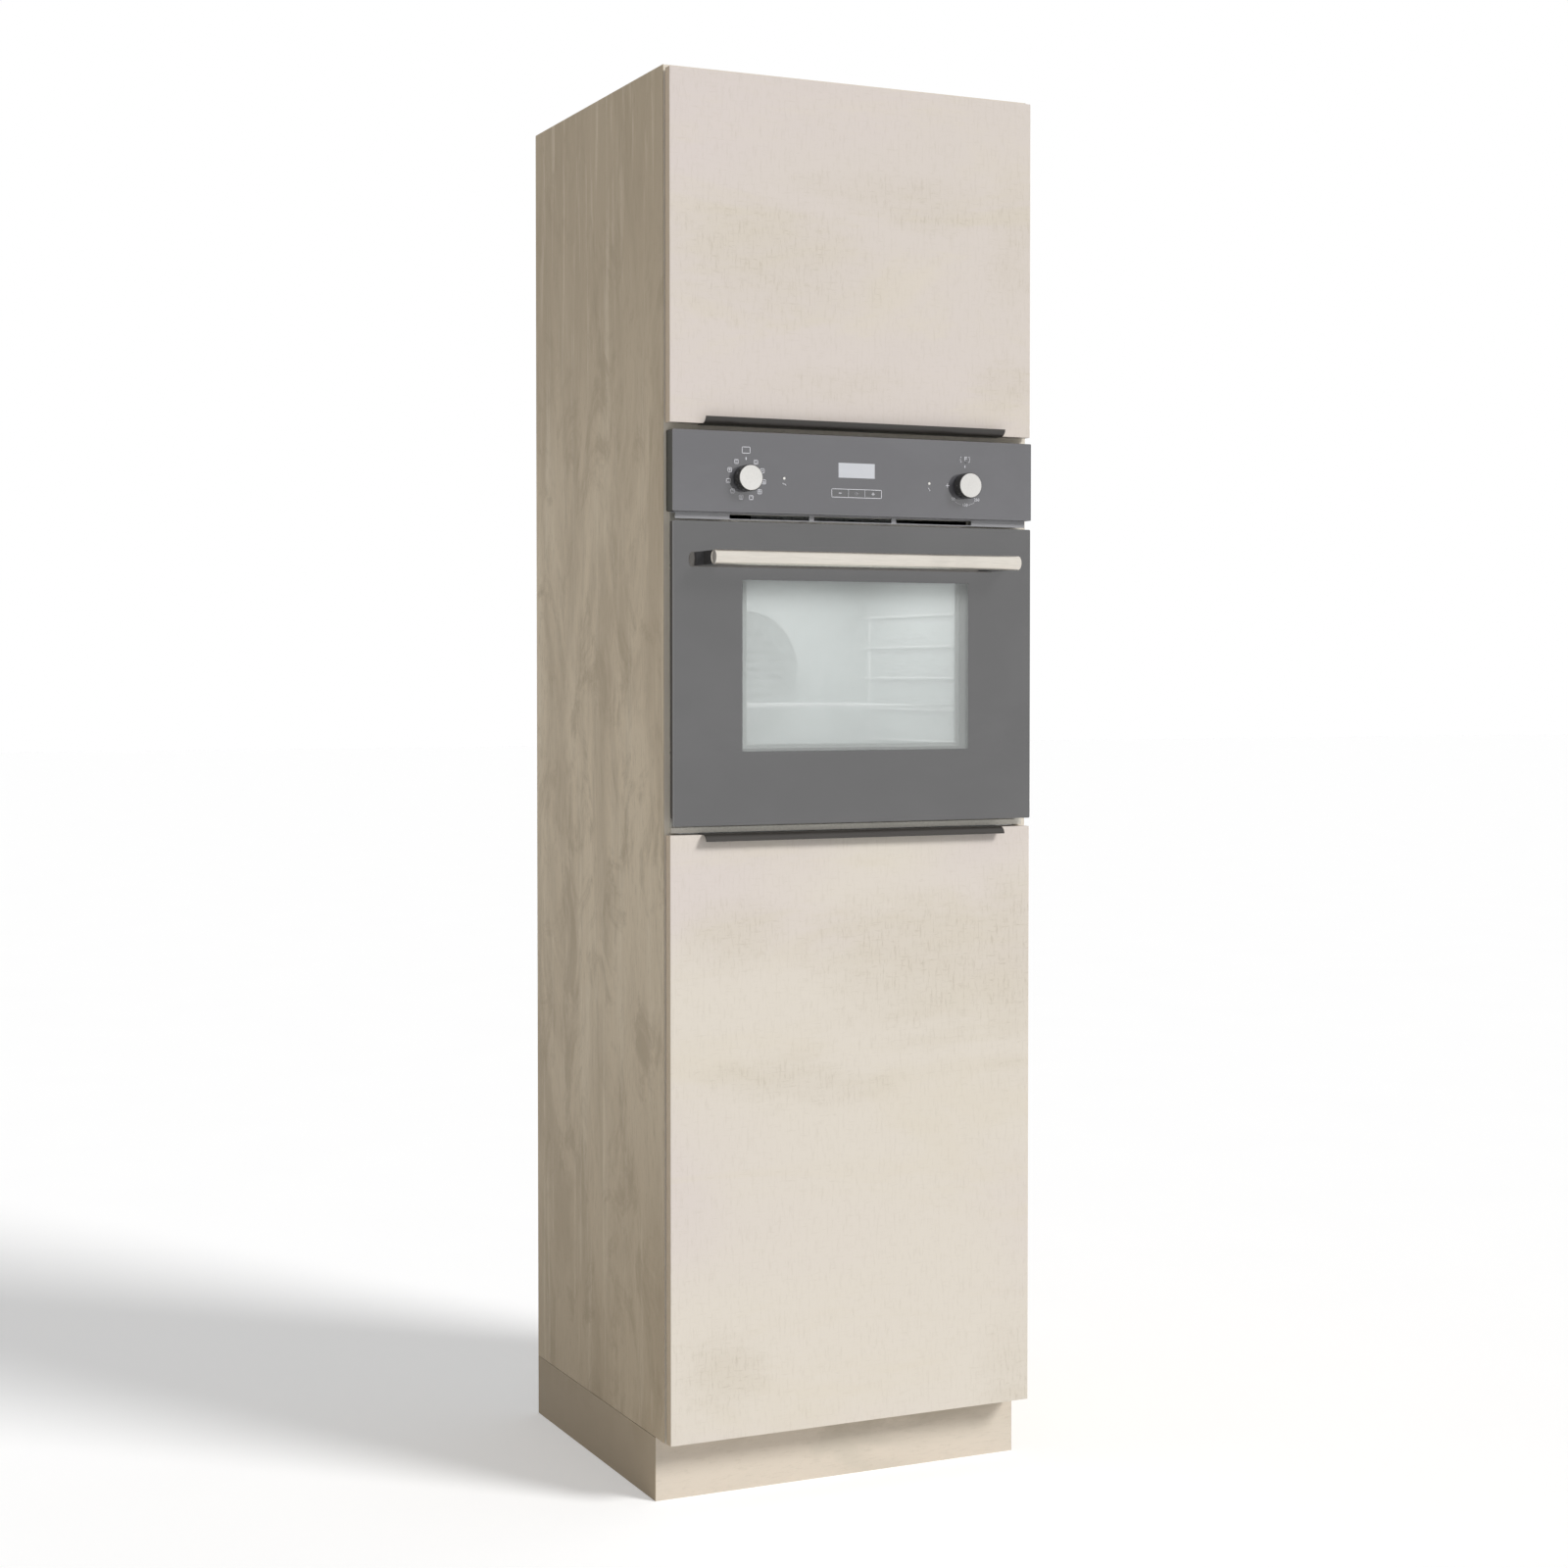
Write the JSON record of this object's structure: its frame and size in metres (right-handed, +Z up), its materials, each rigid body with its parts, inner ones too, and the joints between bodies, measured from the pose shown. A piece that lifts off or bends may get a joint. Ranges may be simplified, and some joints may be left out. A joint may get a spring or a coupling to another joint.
{
  "type": "tall oven housing unit",
  "caption": "Tall kitchen cabinet with two hinged doors, edge pulls and a plinth, housing a built-in oven with a drop-down glass door, bar handle and turning knobs.",
  "frame": {"origin": "on the floor, at the centre of the overall box", "axes": "+Z up, fronts face -Y, +X to the right seen from the front"},
  "size_m": [0.6, 0.622, 2.088],
  "materials": {
    "carcass_board": "pale woodgrain decor on chipboard, satin",
    "front_board": "cream board with a soft cloudy grain, satin",
    "plinth_board": "cloudy decor board, satin",
    "hardboard": "painted hardboard",
    "black_metal": "satin black",
    "hinge_steel": "nickel-plated",
    "zinc": "zinc-plated",
    "casing_steel": "galvanised sheet",
    "foot_plastic": "matt black",
    "enamel": "dark enamel",
    "wool": "mineral wool",
    "seal_rubber": "matt",
    "chromed_wire": "polished wire",
    "cavity_steel": "dark satin",
    "lamp_glass": "clear",
    "fascia": "gloss black",
    "display": "pale grey gloss",
    "module_plastic": "matt",
    "key_plastic": "gloss black",
    "lens": "clear",
    "knob_metal": "brushed face, dark side",
    "vent_metal": "satin grey",
    "door_glass": "dark printed glass",
    "door_chassis": "satin black",
    "inner_glass": "clear",
    "handle_steel": "brushed",
    "standoff_black": "gloss black"
  },
  "bodies": {
    "cabinet": {"side_panel_left": "carcass_board", "side_panel_right": "carcass_board", "bottom_panel": "carcass_board", "oven_shelf": "carcass_board", "upper_fixed_shelf": "carcass_board", "top_panel": "carcass_board", "cam_fittings": "zinc", "lower_back_panel": "hardboard", "upper_back_panel": "hardboard", "lower_shelf_1": "carcass_board", "lower_shelf_2": "carcass_board", "upper_shelf": "carcass_board", "shelf_pins": "zinc", "foot_sockets": "foot_plastic", "foot_bases": "foot_plastic", "plinth_front": "plinth_board", "plinth_left": "plinth_board", "plinth_right": "plinth_board", "plinth_clips": "foot_plastic", "wall_brackets": "zinc", "hinge_arms": "hinge_steel", "hinge_mounting_plates": "hinge_steel", "oven_casing": "casing_steel", "oven_cavity": "enamel", "insulation": "wool", "oven_front_frame": "zinc", "oven_fixing_screws": "zinc", "door_seal": "seal_rubber", "rack_guides": "chromed_wire", "fan_cover": "cavity_steel", "fan_motor": "casing_steel", "grill_element": "cavity_steel", "lamp_cover": "lamp_glass", "cooling_blower": "casing_steel", "control_fascia": "fascia", "display_lens": "display", "timer_module": "module_plastic", "indicator_lenses": "lens", "rotary_switches": "module_plastic", "vent_grille": "vent_metal", "oven_hinge_bases": "hinge_steel"},
    "upper_door_leaf": {"upper_door": "front_board", "upper_edge_pull": "black_metal", "upper_door_hinge_cups": "hinge_steel"},
    "lower_door_leaf": {"lower_door": "front_board", "lower_edge_pull": "black_metal", "lower_door_hinge_cups": "hinge_steel"},
    "oven_door_leaf": {"oven_door_glass": "door_glass", "oven_door_frame": "door_chassis", "oven_door_inner_glass": "inner_glass", "oven_handle_bar": "handle_steel", "oven_handle_standoffs": "standoff_black", "oven_hinge_levers": "hinge_steel"},
    "function_selector": {"function_knob": "knob_metal"},
    "temperature_selector": {"thermostat_knob": "knob_metal"},
    "minus_key": {"key_minus": "key_plastic"},
    "mode_key": {"key_mode": "key_plastic"},
    "plus_key": {"key_plus": "key_plastic"},
    "rack": {"oven_rack": "chromed_wire"},
    "fan_wheel": {"convection_fan": "cavity_steel"}
  },
  "joints": [
    {"name": "upper_door_hinge", "type": "hinge", "parent": "cabinet", "child": "upper_door_leaf", "pos_m": [-0.2912, -0.244, 1.8265], "axis": [0, 0, -1], "range_deg": [0, 95]},
    {"name": "lower_door_hinge", "type": "hinge", "parent": "cabinet", "child": "lower_door_leaf", "pos_m": [-0.2912, -0.244, 0.533], "axis": [0, 0, -1], "range_deg": [0, 95]},
    {"name": "oven_door_hinge", "type": "hinge", "parent": "cabinet", "child": "oven_door_leaf", "pos_m": [0, -0.25, 1.001], "axis": [1, 0, 0], "range_deg": [0, 90]},
    {"name": "function_knob_turn", "type": "hinge", "parent": "cabinet", "child": "function_selector", "pos_m": [-0.181, -0.259, 1.497], "axis": [0, 1, 0], "continuous": true},
    {"name": "thermostat_knob_turn", "type": "hinge", "parent": "cabinet", "child": "temperature_selector", "pos_m": [0.181, -0.259, 1.497], "axis": [0, 1, 0], "range_deg": [0, 290]},
    {"name": "key_minus_press", "type": "slide", "parent": "cabinet", "child": "minus_key", "axis": [0, 1, 0], "range_m": [0, 0.001], "stiffness_N_per_m": 400},
    {"name": "key_mode_press", "type": "slide", "parent": "cabinet", "child": "mode_key", "axis": [0, 1, 0], "range_m": [0, 0.001], "stiffness_N_per_m": 400},
    {"name": "key_plus_press", "type": "slide", "parent": "cabinet", "child": "plus_key", "axis": [0, 1, 0], "range_m": [0, 0.001], "stiffness_N_per_m": 400},
    {"name": "rack_slide", "type": "slide", "parent": "cabinet", "child": "rack", "axis": [0, -1, 0], "range_m": [0, 0.03]},
    {"name": "fan_spin", "type": "hinge", "parent": "cabinet", "child": "fan_wheel", "pos_m": [0, 0.175, 1.222], "axis": [0, 1, 0], "continuous": true}
  ]
}
